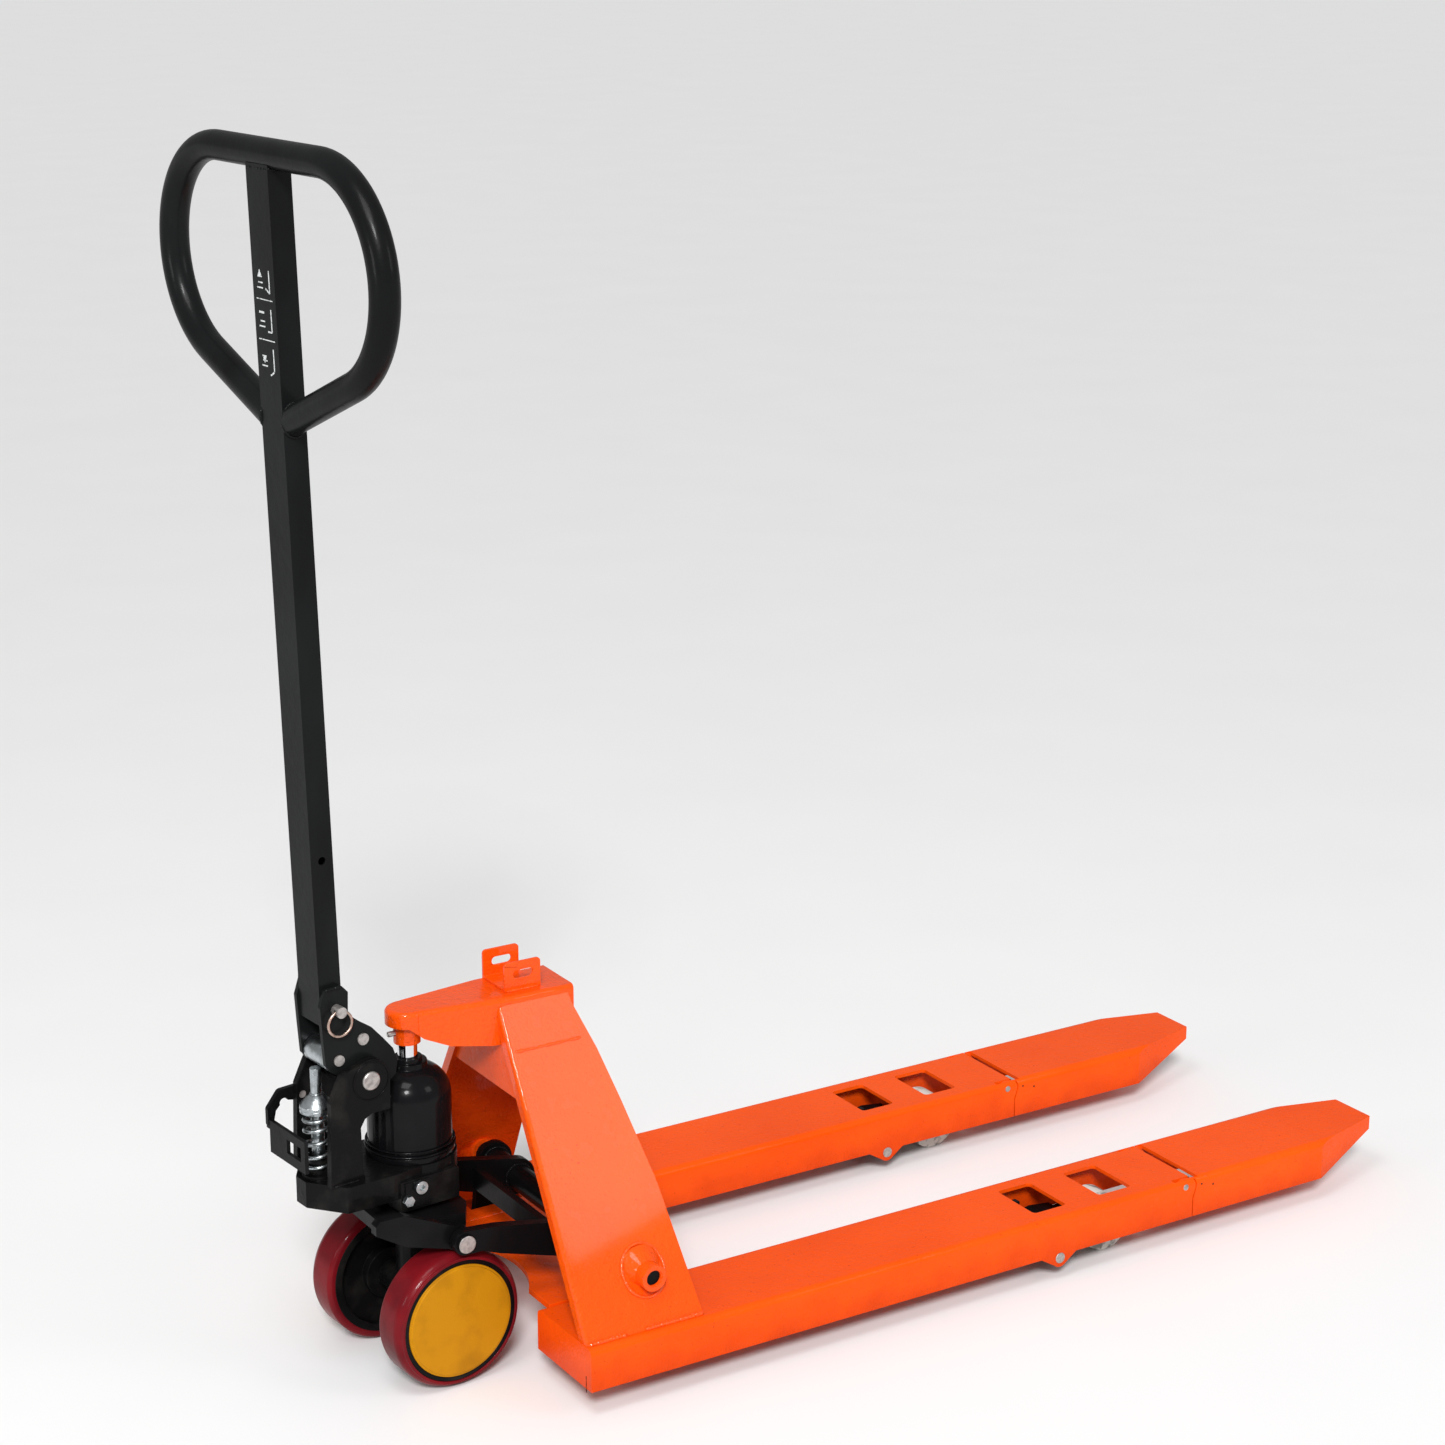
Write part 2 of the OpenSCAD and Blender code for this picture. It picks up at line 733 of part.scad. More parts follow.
module load_roller(side) {
  color(nylon) difference() {
    union() {
      y_bar(load_x, load_z, roller_d / 2, side * fork_y - roller_len / 2 + 2, side * fork_y + roller_len / 2 - 2);
      y_bar(load_x, load_z, roller_d / 2 - 2, side * fork_y - roller_len / 2, side * fork_y + roller_len / 2);
    }
    y_bar(load_x, load_z, load_pin_r + run, side * fork_y - 50, side * fork_y + 50);
  }
}

// plan of the tip about its own centre plane
module tip_plan(inset) {
  w = half_w - inset;
  n = nose_w / 2 - inset;
  polygon([[1030, -w], [1286, -w], [nose_x - 8 - inset, -n], [nose_x - inset, -n + 9], [nose_x - inset, n - 9],
    [nose_x - 8 - inset, n], [1286, w], [1030, w]]);
}

module tip(side) {
  color(paint) translate([0, side * fork_y, 0]) difference() {
    union() {
      difference() {
        intersection() {
          translate([0, 0, fork_z]) x_push(fork_end_x + 1.6, nose_x) round_top(fork_w, fork_h, bend_r);
          linear_extrude(200) tip_plan(0);
          xz_plate(-half_w, half_w) polygon([[1040, fork_z], [1288, fork_z], [nose_x - 4, fork_top - 18],
            [nose_x, fork_top - 9], [nose_x - 7, fork_top], [1040, fork_top]]);
        }
        difference() {
          linear_extrude(fork_top - fork_t) tip_plan(fork_t);
          translate([nose_x - 30, -half_w, fork_top - 16]) cube([40, fork_w, 20]);
        }
        translate([fork_end_x, -in_w / 2, fork_z - 1]) cube([12, in_w, fork_h + 5]);
        xz_plate(-half_w - 1, half_w + 1) {
          translate([hinge_x, hinge_z]) circle(19);
          polygon([[fork_end_x - 8, fork_z + 27], [fork_end_x + 1.6, fork_z + 27], [hinge_x + 18, hinge_z - 6],
            [fork_end_x - 8, hinge_z]]);
        }
      }
      for (s = [-1, 1]) {
        xz_plate(s * (half_w - 8) - 2.5, s * (half_w - 8) + 2.5) link2d([hinge_x, hinge_z], 9.5,
          [hinge_x + 46, hinge_z - 4], 8.5);
        xz_plate(s * (half_w - 7) - 3.5, s * (half_w - 7) + 3.5) translate([hinge_x + 40, hinge_z - 4])
          circle(7);
      }
    }
    y_bar(hinge_x, hinge_z, hinge_r + run, -half_w - 5, half_w + 5);
  }
}

module tyre_left() { tyre(1); }
module tyre_right() { tyre(-1); }
module wheel_left() { wheel(1); }
module wheel_right() { wheel(-1); }
module wheel_cap_left() { wheel_cap(1); }
module wheel_cap_right() { wheel_cap(-1); }
module push_rod_left() { push_rod(1); }
module push_rod_right() { push_rod(-1); }
module roller_arm_left() { roller_arm(1); }
module roller_arm_right() { roller_arm(-1); }
module load_roller_left() { load_roller(1); }
module load_roller_right() { load_roller(-1); }
module tip_left() { tip(1); }
module tip_right() { tip(-1); }

fork_left();
fork_right();
cross_plate();
side_plate_left();
side_plate_right();
front_panel();
back_panel();
crosshead();
lock_bracket();
lift_ram();
head_screw();
tip_pins();
arm_pins();
carriage();
thrust_bearing();
pump_base();
pump_tank();
valve_fittings();
axle_stem();
axle();
pivot_pin();
tyre_left();
tyre_right();
wheel_left();
wheel_right();
wheel_cap_left();
wheel_cap_right();
handle_bracket();
mast();
grip_loop();
bracket_pins();
pump_roller();
pump_piston();
return_spring();
release_pedal();
pin_ring();
rocker();
push_rod_left();
push_rod_right();
roller_arm_left();
roller_arm_right();
load_roller_left();
load_roller_right();
tip_left();
tip_right();
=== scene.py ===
import json
import math

import bpy
from mathutils import Matrix, Vector, noise


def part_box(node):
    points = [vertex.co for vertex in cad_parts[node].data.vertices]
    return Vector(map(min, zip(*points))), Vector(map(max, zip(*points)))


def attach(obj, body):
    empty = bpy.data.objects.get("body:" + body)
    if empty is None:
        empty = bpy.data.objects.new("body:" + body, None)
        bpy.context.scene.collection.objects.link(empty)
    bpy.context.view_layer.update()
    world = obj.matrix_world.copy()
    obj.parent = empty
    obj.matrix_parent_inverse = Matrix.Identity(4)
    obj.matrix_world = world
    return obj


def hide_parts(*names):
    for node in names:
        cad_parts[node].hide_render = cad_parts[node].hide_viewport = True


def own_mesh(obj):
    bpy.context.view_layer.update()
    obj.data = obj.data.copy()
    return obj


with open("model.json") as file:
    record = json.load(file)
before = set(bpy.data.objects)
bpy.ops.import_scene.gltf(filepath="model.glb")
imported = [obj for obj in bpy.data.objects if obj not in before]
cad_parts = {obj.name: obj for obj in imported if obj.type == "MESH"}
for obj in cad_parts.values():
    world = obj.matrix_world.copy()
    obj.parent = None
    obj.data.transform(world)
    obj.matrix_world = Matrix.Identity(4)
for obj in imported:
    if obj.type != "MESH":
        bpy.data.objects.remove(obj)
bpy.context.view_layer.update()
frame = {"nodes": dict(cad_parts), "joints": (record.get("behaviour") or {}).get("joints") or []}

MM = 0.001


class Wire:
    """A socket in a finish's node tree; arithmetic on it adds Math nodes."""

    def __init__(self, finish, socket):
        self.finish = finish
        self.socket = socket

    def maths(self, operation, a, b):
        return self.finish.node("Math", {"operation": operation}, {0: a, 1: b})

    def __add__(self, other):
        return self.maths("ADD", self, other)

    def __radd__(self, other):
        return self.maths("ADD", other, self)

    def __mul__(self, other):
        return self.maths("MULTIPLY", self, other)

    def __rmul__(self, other):
        return self.maths("MULTIPLY", other, self)

    def __gt__(self, other):
        return self.maths("GREATER_THAN", self, other)


class Finish:
    """One procedural finish: a material whose surface takes fixed numbers and wired masks."""

    def __init__(self, name, **fixed):
        self.material = bpy.data.materials.new(name)
        self.material.use_nodes = True
        self.tree = self.material.node_tree
        self.shader = self.tree.nodes["Principled BSDF"]
        for socket, value in fixed.items():
            self.shader.inputs[socket.replace("_", " ")].default_value = value
        self.place = self.node("TexCoord", out="Object")

    def node(self, kind, settings=None, sockets=None, out=0):
        made = self.tree.nodes.new("ShaderNode" + kind)
        for key, value in (settings or {}).items():
            if key == "stops":
                ramp = made.color_ramp.elements
                for element, (position, shade) in zip((ramp[0], ramp[1]), value):
                    element.position = position
                    element.color = (shade, shade, shade, 1)
            else:
                setattr(made, key, value)
        for key, value in (sockets or {}).items():
            if isinstance(value, Wire):
                self.tree.links.new(value.socket, made.inputs[key])
            else:
                made.inputs[key].default_value = value
        return Wire(self, made.outputs[out])

    def grain(self, scale, detail=2.0, stretch=(1, 1, 1)):
        """Noise from 0 to 1 whose features are about 1 / scale metres across."""
        at = self.node("VectorMath", {"operation": "MULTIPLY"}, {0: self.place, 1: stretch})
        return self.node("TexNoise", {}, {"Vector": at, "Scale": scale, "Detail": detail})

    def step(self, wire, low, high):
        """A soft mask that rises from 0 at low to 1 at high."""
        return self.node("ValToRGB", {"stops": ((low, 0), (high, 1))}, {0: wire})

    def height(self):
        return self.node("SeparateXYZ", {}, {0: self.place}, out="Z")

    def tint(self, mask, plain, marked):
        """Plain where the mask is 0 and marked where it is 1."""
        return self.node("Mix", {"data_type": "RGBA"}, {0: mask, 6: plain, 7: marked}, out=2)

    def colour(self, wire):
        self.tree.links.new(wire.socket, self.shader.inputs["Base Color"])

    def roughness(self, wire):
        self.tree.links.new(wire.socket, self.shader.inputs["Roughness"])

    def relief(self, wire, depth):
        """Bumps of the given depth in metres."""
        bump = self.node("Bump", {}, {"Height": wire, "Distance": depth, "Strength": 1.0})
        self.tree.links.new(bump.socket, self.shader.inputs["Normal"])


def rgb(red, green, blue):
    return (red, green, blue, 1.0)


def tidy_object(name, verts, faces, finish, smooth=True):
    mesh = bpy.data.meshes.new(name)
    mesh.from_pydata([tuple(v) for v in verts], [], faces)
    mesh.update()
    made = bpy.data.objects.new(name, mesh)
    bpy.context.scene.collection.objects.link(made)
    mesh.materials.append(finish.material)
    if smooth:
        mesh.shade_smooth()
    return made


studio_floor = Finish("studio_floor", Roughness=0.85, Specular_IOR_Level=0.15)
studio_floor.colour(studio_floor.tint(studio_floor.grain(3), rgb(0.86, 0.86, 0.86), rgb(0.83, 0.83, 0.83)))
FLOOR_HALF = 60.0
floor_corners = [(x * FLOOR_HALF, y * FLOOR_HALF, 0) for x, y in ((-1, -1), (1, -1), (1, 1), (-1, 1))]
tidy_object("floor", floor_corners, [(0, 1, 2, 3)], studio_floor, False)

scene = bpy.context.scene
SKY_STRENGTH = 0.38
sky = bpy.data.worlds.new("studio_sky")
scene.world = sky
sky.use_nodes = True
sky_light = sky.node_tree.nodes["Background"].inputs
sky_light["Color"].default_value = rgb(1.0, 1.0, 1.0)
sky_light["Strength"].default_value = SKY_STRENGTH
scene.view_settings.view_transform = "Standard"
LAMP_AIM = Vector((0.55, 0, 0.45))


def lamp(kind, name, spot, power, size):
    """A soft lamp at spot, turned to face the jack."""
    light = bpy.data.lights.new(name, kind)
    light.energy = power
    if kind == "SUN":
        light.angle = size
    else:
        light.size = size
    made = bpy.data.objects.new(name, light)
    made.location = spot
    made.rotation_euler = (LAMP_AIM - Vector(spot)).to_track_quat("-Z", "Y").to_euler()
    scene.collection.objects.link(made)


lamp("SUN", "soft_sun", (-1.6, -3.4, 3.6), 2.55, math.radians(12))
lamp("AREA", "panel_over", (-0.9, -1.2, 3.2), 30, 1.1)
lamp("AREA", "panel_side", (-3.4, -0.6, 1.6), 16, 0.8)
lamp("AREA", "panel_front", (1.95, -2.45, 2.25), 12, 1.0)

CAMERA_SPOT = (-1.5702, -3.2636, 1.8850)
CAMERA_LOOK = Vector((0.5071, 0.8153, -0.2793))
lens = bpy.data.cameras.new("studio_camera")
lens.sensor_width = 36
lens.lens = 77.8
camera = bpy.data.objects.new("studio_camera", lens)
camera.location = CAMERA_SPOT
camera.rotation_euler = CAMERA_LOOK.to_track_quat("-Z", "Y").to_euler()
scene.collection.objects.link(camera)
scene.camera = camera

# The lifting frame: folded steel forks, sloping side plates, panels and crosshead, welded together.
# It is sprayed with glossy orange paint, thickest on the tower, with a fine orange-peel skin.
# Every folded or cut edge is slightly rounded, and runs of weld show at the joints.


def dress(finish, *names):
    """Gives CAD nodes their finish."""
    for name in names:
        for slot in frame["nodes"][name].material_slots:
            slot.material = finish.material


def round_edges(width, *names, flatten=True):
    """Joins the node's faces, clears flat seams and rounds its sharp edges by width in metres."""
    for name in names:
        node = frame["nodes"][name]
        weld = node.modifiers.new("join", "WELD")
        weld.merge_threshold = 1e-6
        if flatten:
            flat = node.modifiers.new("flatten", "DECIMATE")
            flat.decimate_type = "DISSOLVE"
            flat.angle_limit = math.radians(0.6)
        edge = node.modifiers.new("round", "BEVEL")
        edge.width = width
        edge.segments = 3
        edge.limit_method = "ANGLE"
        edge.angle_limit = math.radians(32)
        edge.use_clamp_overlap = True
        edge.harden_normals = True
        edge.miter_outer = "MITER_ARC"


def orange_finish(name, coat, peel):
    """Orange paint with a clear gloss of the given weight and an orange-peel skin peel metres deep."""
    paint = Finish(name, Coat_Weight=coat, Coat_Roughness=0.05, Specular_IOR_Level=0.06)
    drift = paint.step(paint.grain(5, 3), 0.35, 0.7)
    base = paint.tint(drift, rgb(0.90, 0.090, 0.0035), rgb(0.83, 0.074, 0.002))
    # The paint turns darker towards the bottom, in the lowest few centimetres above the floor.
    low_darkening = paint.step(paint.height() * 6 + paint.grain(22, 4) * 0.35, 0.34, 0.62)
    base = paint.tint(low_darkening, rgb(0.62, 0.048, 0.002), base)
    speck = paint.grain(260, 1) > 0.735
    paint.colour(paint.tint(speck, base, rgb(0.60, 0.05, 0.004)))
    paint.roughness(paint.grain(40, 3) * 0.12 + 0.20)
    paint.relief(paint.grain(300, 2) + paint.grain(110, 2) + paint.grain(28, 2) * 1.4, peel)
    return paint


orange = orange_finish("orange_paint", 0.09, 0.0006)
orange_thick = orange_finish("orange_thick", 0.42, 0.0014)
orange_weld = orange_finish("orange_weld", 0.9, 0.0010)
FRAME_NODES = ("fork_left", "fork_right", "cross_plate", "side_plate_left", "side_plate_right",
               "front_panel", "back_panel", "crosshead", "lock_bracket")
dress(orange, *FRAME_NODES)
dress(orange_thick, "side_plate_left", "side_plate_right", "crosshead", "lock_bracket")
round_edges(0.9 * MM, *FRAME_NODES)

fork_lo, fork_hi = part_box("fork_right")
HEEL_X = fork_lo.x
FORK_TOP = fork_hi.z
FORK_OUT = -fork_lo.y
SIDES = ((1, "left"), (-1, "right"))
# The side plate's outer face slopes from its top line to its foot line, each (how far out, how high).
SLOPE_TOP = (50 * MM, 450 * MM)
SLOPE_FOOT = (255 * MM, 97 * MM)
PLATE_SLOPE = (SLOPE_FOOT[0] - SLOPE_TOP[0]) / (SLOPE_TOP[1] - SLOPE_FOOT[1])


def plate_out(z):
    """How far out the side plate's outer face is at height z."""
    return SLOPE_TOP[0] + (SLOPE_TOP[1] - z) * PLATE_SLOPE


def ring_frames(path, closed):
    """Two cross directions at each point of a path, turned as little as possible from point to point."""
    count = len(path)
    frames = []
    side = None
    for i in range(count):
        before = path[i - 1] if (i > 0 or closed) else path[i]
        after = path[(i + 1) % count] if (i < count - 1 or closed) else path[i]
        along = (after - before).normalized()
        if side is None:
            side = along.orthogonal().normalized()
        side = (side - along * side.dot(along)).normalized()
        frames.append((side, along.cross(side)))
    return frames


def tube(path, radius_at, sides=8, closed=False):
    """A round bar along a path; radius_at gives its radius for point number i."""
    verts = []
    faces = []
    count = len(path)
    for i, (side, up) in enumerate(ring_frames(path, closed)):
        for k in range(sides):
            turn = 2 * math.pi * k / sides
            verts.append(path[i] + (side * math.cos(turn) + up * math.sin(turn)) * radius_at(i))
    for i in range(count if closed else count - 1):
        j = (i + 1) % count
        for k in range(sides):
            m = (k + 1) % sides
            faces.append((i * sides + k, i * sides + m, j * sides + m, j * sides + k))
    if not closed:
        faces.append(tuple(range(sides - 1, -1, -1)))
        faces.append(tuple(range((count - 1) * sides, count * sides)))
    return verts, faces


def lay_path(corners, pitch, closed=False):
    """Points every pitch metres along straight runs between corners."""
    points = []
    runs = list(zip(corners, corners[1:] + (corners[:1] if closed else [])))
    for a, b in runs:
        steps = max(1, round((b - a).length / pitch))
        points += [a.lerp(b, i / steps) for i in range(steps)]
    return points if closed else points + [corners[-1]]


def fit(name, shape, finish, body, smooth=True):
    """Makes a piece from (verts, faces) and rides it on its body."""
    made = tidy_object(name, shape[0], shape[1], finish, smooth)
    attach(made, body)
    return made


def weld_bead(name, corners, radius, finish, body, closed=False):
    """A run of weld laid along a joint: overlapping scales, a little uneven, painted over."""
    path = lay_path([Vector(c) for c in corners], radius * 0.34, closed)
    scales = []
    for i, point in enumerate(path):
        ripple = 0.5 + 0.5 * math.cos(2 * math.pi * i / 4)
        lump = noise.noise(point * 210)
        fade = 1 if closed else min(1.0, 0.35 + 0.22 * min(i, len(path) - 1 - i))
        scales.append(radius * fade * (0.80 + 0.20 * ripple + 0.42 * lump))
    return fit(name, tube(path, lambda i: scales[i], 8, closed), finish, body)


def painted_weld(name, corners, radius, closed=False):
    """A weld on the lifting frame, under its orange paint; the radius is in millimetres."""
    return weld_bead(name, corners, radius * MM, orange_weld, "frame", closed)


SHAFT_X, SHAFT_Z = 206 * MM, 155 * MM


def round_shaft(reach, count, out_at):
    """Points on a ring about the rocker shaft; out_at gives how far out a point of height z stands."""
    ring = []
    for k in range(count):
        turn = 2 * math.pi * k / count
        z = SHAFT_Z + reach * math.sin(turn)
        ring.append((SHAFT_X + reach * math.cos(turn), out_at(z), z))
    return ring


# Where the welds start and end: along the forks from the heel, along x, and in height.
FOOT_RUNS = ((3 * MM, 58 * MM), (84 * MM, 168 * MM))
LIP_ENDS, LIP_Z = (112 * MM, 206 * MM), 412.5 * MM
CROSS_ENDS = (150 * MM, 246 * MM)
PANEL_ENDS, PANEL_X = (358 * MM, 408 * MM), HEEL_X + 5.5 * MM
BOSS_WELD_R = 29 * MM
for side, word in SIDES:
    foot_z = FORK_TOP + 1.2 * MM
    foot_y = side * (plate_out(foot_z) + 0.3 * MM)
    for number, ends in enumerate(FOOT_RUNS):
        painted_weld(f"foot_weld_{word}_{number}", [(HEEL_X + along, foot_y, foot_z) for along in ends], 3.4)
    boss = round_shaft(BOSS_WELD_R, 40, lambda z: side * (plate_out(z) + 0.6 * MM))
    painted_weld(f"boss_weld_{word}", boss, 2.6, True)
    lip_y = side * (plate_out(LIP_Z) - 0.4 * MM)
    painted_weld(f"lip_weld_{word}", [(x, lip_y, LIP_Z) for x in LIP_ENDS], 2.2)
    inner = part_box("fork_" + word)[0 if side > 0 else 1].y + side * 1.0 * MM
    painted_weld(f"cross_weld_{word}", [(x, inner, FORK_TOP) for x in CROSS_ENDS], 2.0)
    panel = [(PANEL_X, side * (plate_out(z) - 7.4 * MM), z) for z in PANEL_ENDS]
    painted_weld(f"panel_weld_{word}", panel, 2.0)

lock_lo, lock_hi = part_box("lock_bracket")
for word, y in (("near", lock_lo.y), ("far", lock_hi.y)):
    run = [(x, y, lock_lo.z + 0.6 * MM) for x in (lock_lo.x + 3 * MM, lock_hi.x - 3 * MM)]
    painted_weld("lock_weld_" + word, run, 1.9)

SEAM_IN = 13 * MM
SEAM_RISES = (12 * MM, 34 * MM)
# Near-black for the dark heel seams and plug welds, and painted shade on the web and backing plates in the
# hinge gap.
seam_dark_and_shade = Finish("seam_dark_and_shade", Specular_IOR_Level=0.2)
seam_dark_and_shade.colour(seam_dark_and_shade.tint(seam_dark_and_shade.grain(120), rgb(0.035, 0.006, 0.003), rgb(0.06, 0.012, 0.005)))
seam_dark_and_shade.roughness(seam_dark_and_shade.grain(80) * 0.2 + 0.6)
for side, word in SIDES:
    y = side * (FORK_OUT - SEAM_IN)
    path = lay_path([Vector((HEEL_X, y, fork_lo.z + rise)) for rise in SEAM_RISES], 1.5 * MM)
    seam = tube(path, lambda i: 0.55 * MM * (1 + 0.3 * math.sin(i)), 6)
    fit("heel_seam_" + word, seam, seam_dark_and_shade, "frame")

# The ram and the pins: a polished chromed ram, a set screw in the crosshead's nose, and cut steel pins.
# The pins are drawn bar, turned at the ends and left bare, so they go a dull grey.
chrome = Finish("ram_chrome", Metallic=1.0)
chrome.colour(chrome.tint(chrome.grain(60, 2, (1, 1, 0.06)), rgb(0.80, 0.80, 0.82), rgb(0.68, 0.69, 0.72)))
chrome.roughness(chrome.grain(500, 2, (1, 1, 0.05)) * 0.10 + 0.05)
dress(chrome, "lift_ram")

steel = Finish("bare_steel", Metallic=0.85)
steel_mark = steel.step(steel.grain(170, 4), 0.42, 0.68)
steel.colour(steel.tint(steel_mark, rgb(0.50, 0.47, 0.45), rgb(0.30, 0.28, 0.27)))
steel.roughness(steel.grain(240, 3) * 0.22 + 0.30)
steel.relief(steel.grain(700, 2, (1, 0.2, 1)), 0.00012)
dress(steel, "tip_pins", "arm_pins", "head_screw")
round_edges(0.8 * MM, "tip_pins", "arm_pins")
round_edges(0.3 * MM, "head_screw")

# The folding fork tips: pressed toe pieces hinged on short pins in rounded ears at the ends of the forks.
# Two plug welds show on each side, and a row of weld buttons runs across the toe's blunt nose.
# Inside the gap at the hinge lie a web and two backing plates in near-black: painted shade filling the gap.


def dome(centre, out, radius, rise):
    """A low uneven button of weld, flat against its plate."""
    centre = Vector(centre)
    out = Vector(out).normalized()
    side = out.orthogonal().normalized()
    up = out.cross(side)
    verts = [centre + out * rise]
    faces = []
    rings, spokes = 4, 12
    for ring in range(1, rings + 1):
        swing = 0.5 * math.pi * ring / rings
        for k in range(spokes):
            turn = 2 * math.pi * k / spokes
            reach = radius * math.sin(swing) * (1 + 0.12 * math.sin(3 * turn + centre.x * 900))
            spoke = side * math.cos(turn) + up * math.sin(turn)
            verts.append(centre + spoke * reach + out * rise * math.cos(swing))
    verts.append(centre - out * 0.4 * rise)
    last = len(verts) - 1
    for k in range(spokes):
        m = (k + 1) % spokes
        faces.append((0, 1 + k, 1 + m))
        for ring in range(rings - 1):
            a = 1 + ring * spokes
            faces.append((a + k, a + spokes + k, a + spokes + m, a + m))
        a = 1 + (rings - 1) * spokes
        faces.append((a + k, last, a + m))
    return verts, faces


def joined(shapes):
    """Several (verts, faces) as one."""
    verts = []
    faces = []
    for more_verts, more_faces in shapes:
        start = len(verts)
        verts += more_verts
        faces += [tuple(start + i for i in face) for face in more_faces]
    return verts, faces


PLUG_SPOTS = ((1.0655, 0.0820), (1.0860, 0.0770))
BUTTONS, BUTTON_PITCH = 7, 9.5 * MM
WEB_HALF, WEB_T = 57 * MM, 2.5 * MM
WEB_LINE = ((1.0530, 0.0720), (1.0700, 0.0720), (1.0740, 0.0760))
WEB_SKINS = [(0, 1, 3, 2), (2, 3, 5, 4), (7, 6, 8, 9), (9, 8, 10, 11), (0, 6, 7, 1), (4, 5, 11, 10),
             (0, 2, 8, 6), (2, 4, 10, 8), (1, 7, 9, 3), (3, 9, 11, 5)]
BACK_Y, BACK_HALF_T = 61.9 * MM, 0.7 * MM
BACK_LINE = ((1.0440, 0.0390), (1.0640, 0.0390), (1.0640, 0.0680), (1.0500, 0.0680), (1.0440, 0.0600))
BACK_SKINS = [(0, 1, 2, 3, 4), (9, 8, 7, 6, 5)] + [(k, k + 5, (k + 1) % 5 + 5, (k + 1) % 5) for k in range(5)]
for word in ("left", "right"):
    name = "tip_" + word
    dress(orange, name)
    round_edges(0.8 * MM, name)
    lo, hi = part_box(name)
    mid = (lo.y + hi.y) / 2
    plugs = []
    for face in (-1, 1):
        edge = mid + face * (hi.y - lo.y) / 2
        for x, z in PLUG_SPOTS:
            plugs.append(dome((x, edge - face * 0.2 * MM, z), (0, face, 0), 2.0 * MM, 0.35 * MM))
    fit("tip_plugs_" + word, joined(plugs), seam_dark_and_shade, name)
    buttons = []
    for k in range(BUTTONS):
        y = mid + (k - (BUTTONS - 1) / 2) * BUTTON_PITCH
        buttons.append(dome((hi.x - 8.5 * MM, y, hi.z - 0.5 * MM), (0.25, 0, 1), 2.7 * MM, 0.45 * MM))
    fit("nose_welds_" + word, joined(buttons), orange_weld, name)

    # The web and backing plates are near-black painted shade for the dark gap at the hinge.
    web = []
    for x, z in WEB_LINE:
        web += [(x, mid - WEB_HALF, z), (x, mid + WEB_HALF, z)]
    web += [(x, y, z - WEB_T) for x, y, z in web]
    backs = []
    for face in (-1, 1):
        back_y = mid + face * BACK_Y
        verts = [(x, back_y + step * BACK_HALF_T, z) for step in (-1, 1) for x, z in BACK_LINE]
        backs.append((verts, BACK_SKINS))
    fit("tip_web_" + word, joined([(web, WEB_SKINS)] + backs), seam_dark_and_shade, name, False)

# The load rollers and their arms: solid cast nylon rollers on pins between two black steel cheeks.
# The nylon is off-white, scuffed and greyed by the floor, and a bent black web joins the cheeks above it.
black = Finish("black_paint", Specular_IOR_Level=0.05, Coat_Weight=0.06, Coat_Roughness=0.10)
black_dust = black.step(black.grain(9, 5), 0.45, 0.75)
black.colour(black.tint(black_dust, rgb(0.0040, 0.0040, 0.0044), rgb(0.010, 0.010, 0.011)))
black.roughness(black.grain(46, 3) * 0.20 + 0.27)
black.relief(black.grain(420, 1) * 0.5 + black.grain(110, 2), 0.00022)

nylon = Finish("roller_nylon", Specular_IOR_Level=0.2)
scuff = nylon.step(nylon.grain(75, 6), 0.48, 0.60)
nylon.colour(nylon.tint(scuff, rgb(0.66, 0.64, 0.59), rgb(0.24, 0.23, 0.21)))
nylon.roughness(nylon.grain(60, 3) * 0.2 + 0.42)
nylon.relief(nylon.grain(260, 4) + scuff * 0.5, 0.00025)

ARM_WEB_HALF, ARM_WEB_T = 33 * MM, 4 * MM
ARM_WEB_LINE = ((0.824, 0.060), (0.846, 0.064), (0.880, 0.060), (0.889, 0.050))
arm_skins = [(0, 8, 9, 1), (6, 7, 15, 14)]
for k in (0, 2, 4):
    arm_skins += [(k, k + 1, k + 3, k + 2), (k + 9, k + 8, k + 10, k + 11), (k, k + 2, k + 10, k + 8),
                  (k + 1, k + 9, k + 11, k + 3)]
for word in ("left", "right"):
    dress(black, "roller_arm_" + word)
    round_edges(0.8 * MM, "roller_arm_" + word)
    arm_lo, arm_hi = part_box("roller_arm_" + word)
    mid = (arm_lo.y + arm_hi.y) / 2
    web = []
    for x, z in ARM_WEB_LINE:
        web += [(x, mid - ARM_WEB_HALF, z), (x, mid + ARM_WEB_HALF, z)]
    web += [(x, y, z - ARM_WEB_T) for x, y, z in web]
    fit("arm_web_" + word, (web, arm_skins), black, "arm_" + word, False)
    dress(nylon, "load_roller_" + word)
    round_edges(0.8 * MM, "load_roller_" + word)

# The lifting linkage: a cross shaft with lugs and levers, and long flat push rods to the roller arms.
# It is flame-cut plate and bar, dipped in black paint, with a weld fillet round each lug and lever.
dress(black, "rocker", "push_rod_left", "push_rod_right")
round_edges(0.8 * MM, "rocker", "push_rod_left", "push_rod_right")
COLLAR_R = 18 * MM
COLLAR_OUT = {"lug": 103 * MM, "lever": 167 * MM}
for side, word in SIDES:
    for place, out in COLLAR_OUT.items():
        collar = round_shaft(COLLAR_R, 28, lambda z: side * out)
        weld_bead(f"{place}_weld_{word}", collar, 2.6 * MM, black, "rocker", True)


